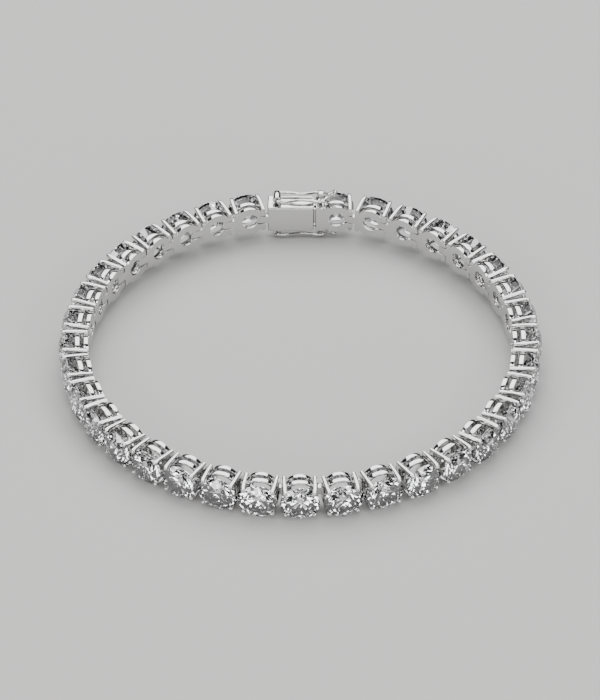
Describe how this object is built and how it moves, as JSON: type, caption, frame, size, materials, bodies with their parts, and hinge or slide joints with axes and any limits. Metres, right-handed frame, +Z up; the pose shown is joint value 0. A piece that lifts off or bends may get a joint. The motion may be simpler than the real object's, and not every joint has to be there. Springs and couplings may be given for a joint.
{
  "type": "tennis bracelet",
  "caption": "Flexible line bracelet of claw-set round stones, hinged link to link and closed by a box clasp with wire safety catches, standing on its edge as a loop.",
  "frame": {"origin": "on the ground under the middle of the bracelet's box", "axes": "+X to the viewer's right along the straight clasp, +Y from the front setting to the clasp, +Z up, across the bracelet's width"},
  "size_m": [0.0632, 0.0626, 0.0076],
  "materials": {
    "white_gold": "high polish, rhodium plated white gold",
    "diamond": "faceted and polished, colourless"
  },
  "bodies": {
    "bracelet": {"link_01": "white_gold", "link_02": "white_gold", "link_03": "white_gold", "link_04": "white_gold", "link_05": "white_gold", "link_06": "white_gold", "link_07": "white_gold", "link_08": "white_gold", "link_09": "white_gold", "link_10": "white_gold", "link_11": "white_gold", "link_12": "white_gold", "link_13": "white_gold", "link_14": "white_gold", "link_15": "white_gold", "link_16": "white_gold", "link_17": "white_gold", "link_18": "white_gold", "link_19": "white_gold", "link_20": "white_gold", "link_21": "white_gold", "link_22": "white_gold", "link_23": "white_gold", "link_24": "white_gold", "link_25": "white_gold", "link_26": "white_gold", "link_27": "white_gold", "link_28": "white_gold", "link_29": "white_gold", "link_30": "white_gold", "link_31": "white_gold", "link_32": "white_gold", "link_33": "white_gold", "link_34": "white_gold", "clasp_tongue": "white_gold", "clasp_box": "white_gold"},
    "catch_upper": {"safety_catch_upper": "white_gold"},
    "catch_lower": {"safety_catch_lower": "white_gold"}
  },
  "joints": [
    {"name": "catch_upper_hinge", "type": "hinge", "parent": "bracelet", "child": "catch_upper", "pos_m": [-0.00324, 0.02917, 0.00667], "axis": [0, -0.9997, -0.0237], "range_deg": [0, 110]},
    {"name": "catch_lower_hinge", "type": "hinge", "parent": "bracelet", "child": "catch_lower", "pos_m": [-0.00324, 0.02931, 0.00097], "axis": [0, 0.9997, 0.0237], "range_deg": [0, 110]}
  ]
}
